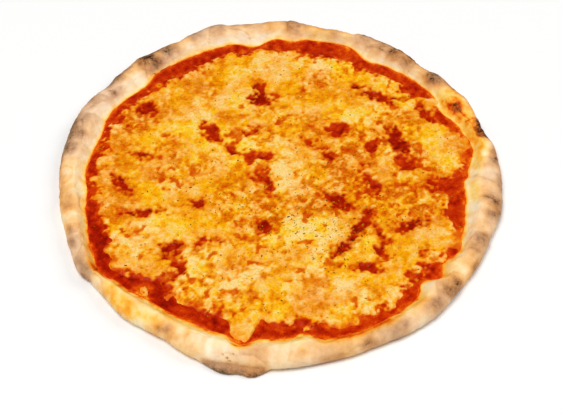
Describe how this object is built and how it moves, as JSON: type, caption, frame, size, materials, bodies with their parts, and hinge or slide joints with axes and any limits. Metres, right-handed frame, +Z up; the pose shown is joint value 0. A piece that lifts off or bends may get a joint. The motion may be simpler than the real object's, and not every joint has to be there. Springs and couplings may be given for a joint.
{
  "type": "margherita pizza",
  "caption": "Thin round pizza with a puffed and browned rim, a film of tomato sauce, and melted cheese flecked with dried herbs.",
  "frame": {"origin": "middle of the pizza's width and length, on the surface that it rests on", "axes": "+Z up out of the topping, -Y towards the side where the brown lip of the base shows under the rim, +X to the right when seen from -Y"},
  "size_m": [0.2984, 0.305, 0.0143],
  "materials": {
    "crust": "dry baked dough, cream to brown with charred spots",
    "tomato_sauce": "wet and oily, red",
    "melted_cheese": "oily, mottled cream, yellow and orange, with herb flakes"
  },
  "bodies": {
    "root": {"crust": "crust", "tomato_sauce": "tomato_sauce", "melted_cheese": "melted_cheese", "cheese_crumb": "melted_cheese"}
  },
  "joints": []
}
